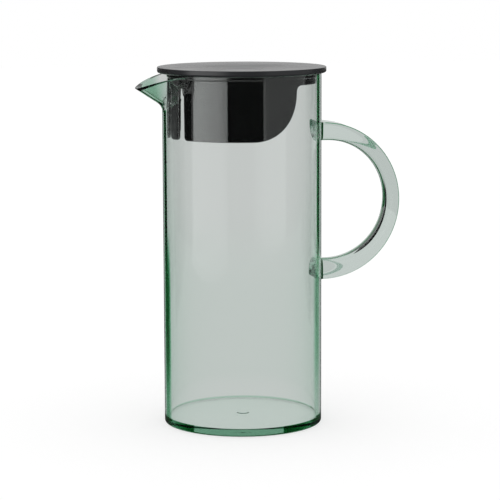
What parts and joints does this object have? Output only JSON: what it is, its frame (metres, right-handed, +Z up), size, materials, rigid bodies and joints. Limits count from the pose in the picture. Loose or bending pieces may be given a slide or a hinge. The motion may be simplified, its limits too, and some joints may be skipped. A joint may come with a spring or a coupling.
{
  "type": "serving jug",
  "caption": "Tall clear round jug with a beak spout, a ring handle, and a flat round lid whose skirt has a pouring comb on one side and an open arch on the other.",
  "frame": {"origin": "centre of the base's flat underside, on the vessel's axis", "axes": "+Z up along the vessel's axis, +X towards the handle, -X towards the spout"},
  "size_m": [0.1758, 0.1114, 0.2371],
  "materials": {
    "clear_vessel": "clear green-tinted moulded plastic, polished",
    "clear_handle": "clear green-tinted moulded plastic, polished",
    "satin_black": "satin black moulded plastic",
    "gloss_black": "gloss black moulded plastic",
    "soft_black": "soft black sealing ring"
  },
  "bodies": {
    "jug": {"jug_body": "clear_vessel", "handle": "clear_handle"},
    "seal": {"seal_ring": "soft_black"},
    "lid": {"lid_disc": "satin_black", "strainer_skirt": "gloss_black"}
  },
  "joints": [
    {"name": "lid_lift", "type": "slide", "parent": "jug", "child": "seal", "axis": [0, 0, 1], "range_m": [0, 0.08]},
    {"name": "lid_turn", "type": "hinge", "parent": "seal", "child": "lid", "pos_m": [0, 0, 0.2333], "axis": [0, 0, 1], "continuous": true}
  ]
}
